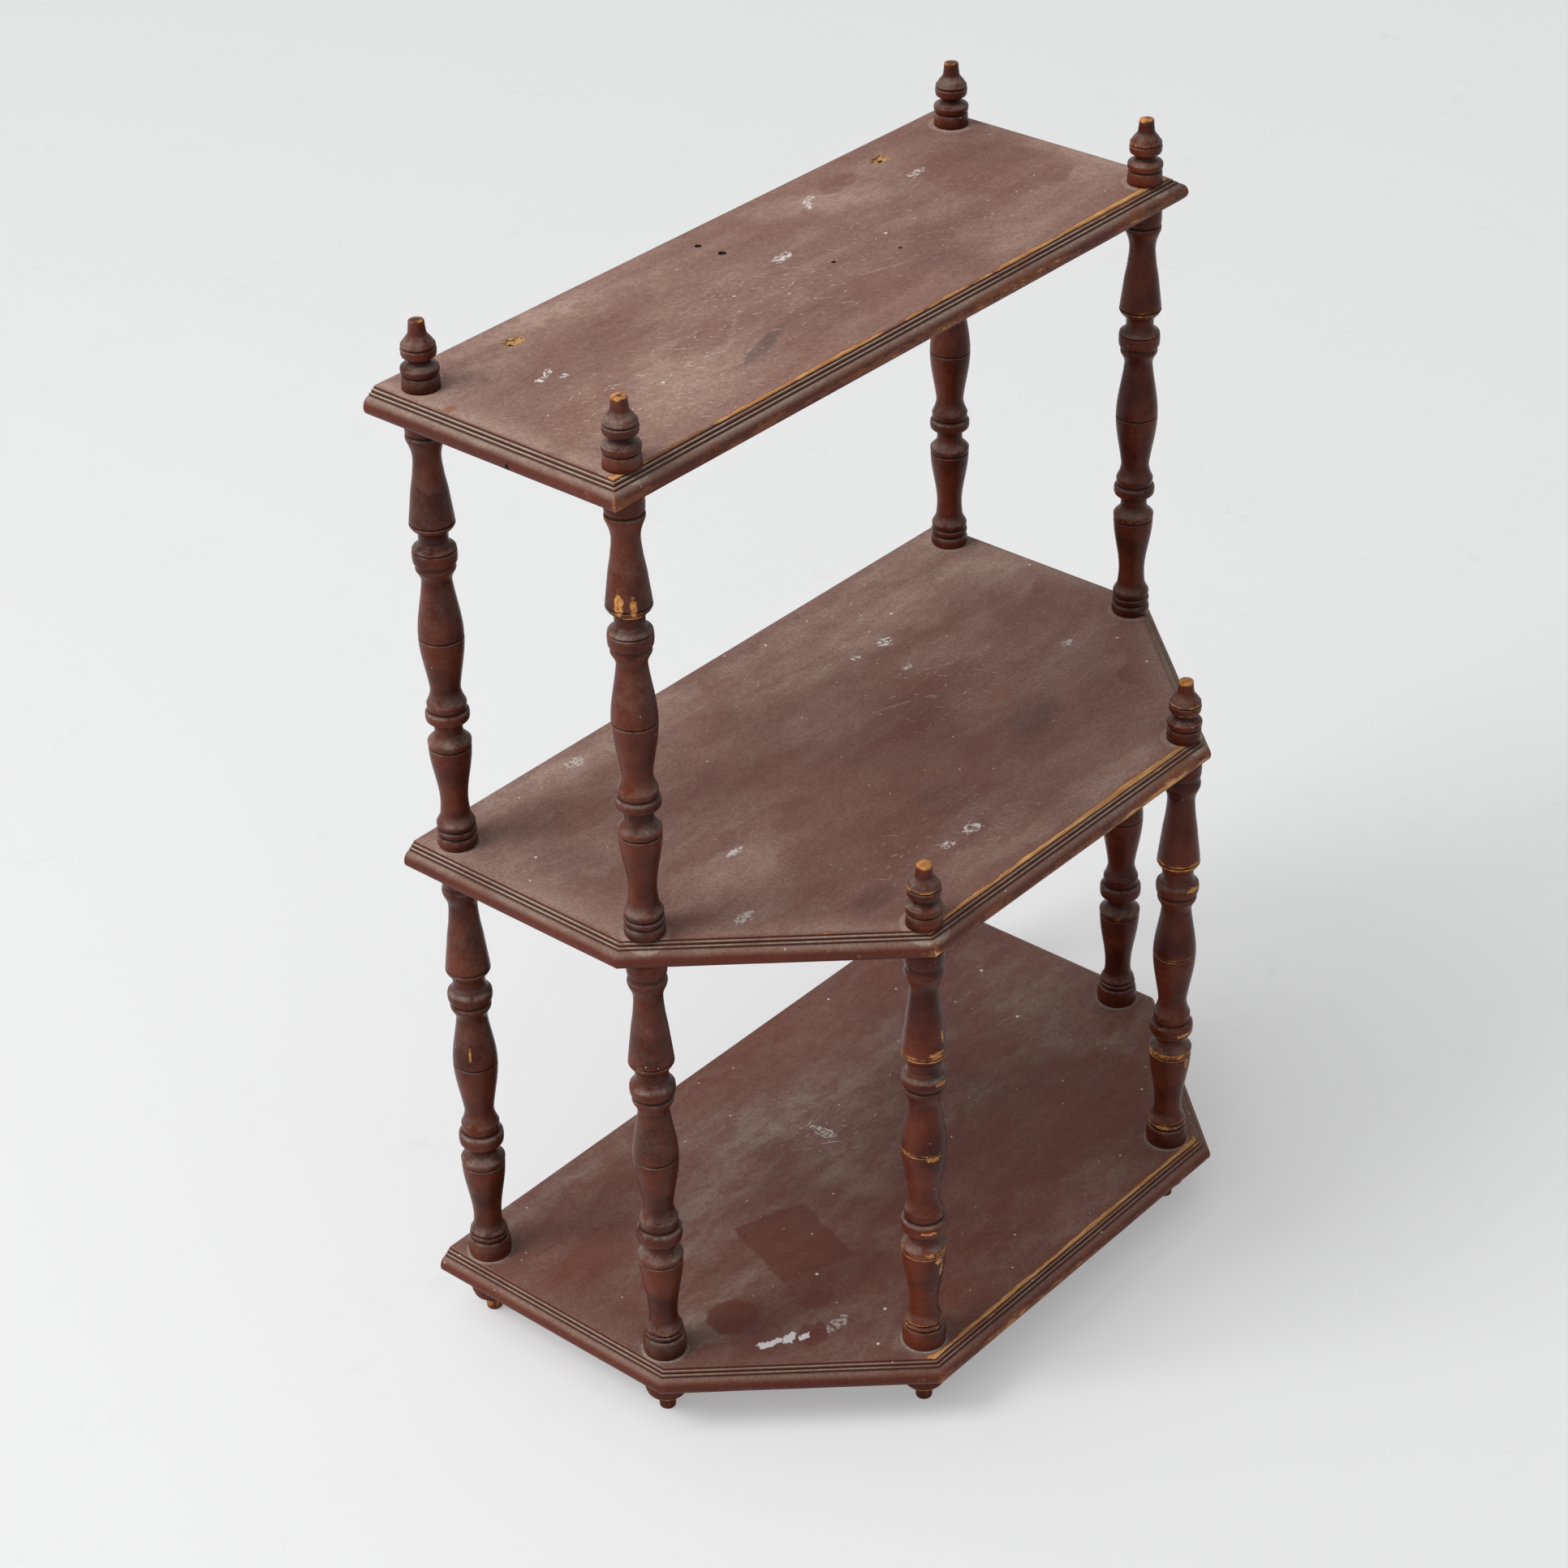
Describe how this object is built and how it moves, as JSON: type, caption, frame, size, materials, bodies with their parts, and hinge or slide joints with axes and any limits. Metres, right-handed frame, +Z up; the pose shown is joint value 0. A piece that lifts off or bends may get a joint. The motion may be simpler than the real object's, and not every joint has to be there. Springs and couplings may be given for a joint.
{
  "type": "wall shelf",
  "caption": "Tiered wall etagere with canted moulded shelves carried on turned spindles, with turned finials above and bun feet below.",
  "frame": {"origin": "middle of the footprint, at floor level under the feet", "axes": "+Z up, +X to the right seen from the front, +Y towards the wall behind the straight back edges"},
  "size_m": [0.5096, 0.3106, 0.6858],
  "materials": {
    "shelf_wood": "worn red-brown paint, satin, dusty",
    "turned_wood": "worn red-brown paint, satin",
    "foot_wood": "worn red-brown paint, bare at the stub"
  },
  "bodies": {
    "root": {"shelf_top": "shelf_wood", "shelf_middle": "shelf_wood", "shelf_bottom": "shelf_wood", "spindle_upper_back_left": "turned_wood", "spindle_upper_back_right": "turned_wood", "spindle_upper_side_left": "turned_wood", "spindle_upper_side_right": "turned_wood", "spindle_lower_back_left": "turned_wood", "spindle_lower_back_right": "turned_wood", "spindle_lower_side_left": "turned_wood", "spindle_lower_side_right": "turned_wood", "spindle_lower_front_left": "turned_wood", "spindle_lower_front_right": "turned_wood", "finial_back_left": "turned_wood", "finial_back_right": "turned_wood", "finial_side_left": "turned_wood", "finial_side_right": "turned_wood", "finial_front_left": "turned_wood", "finial_front_right": "turned_wood", "foot_back_left": "foot_wood", "foot_back_right": "foot_wood", "foot_side_left": "foot_wood", "foot_side_right": "foot_wood", "foot_front_left": "foot_wood", "foot_front_right": "foot_wood"}
  },
  "joints": []
}
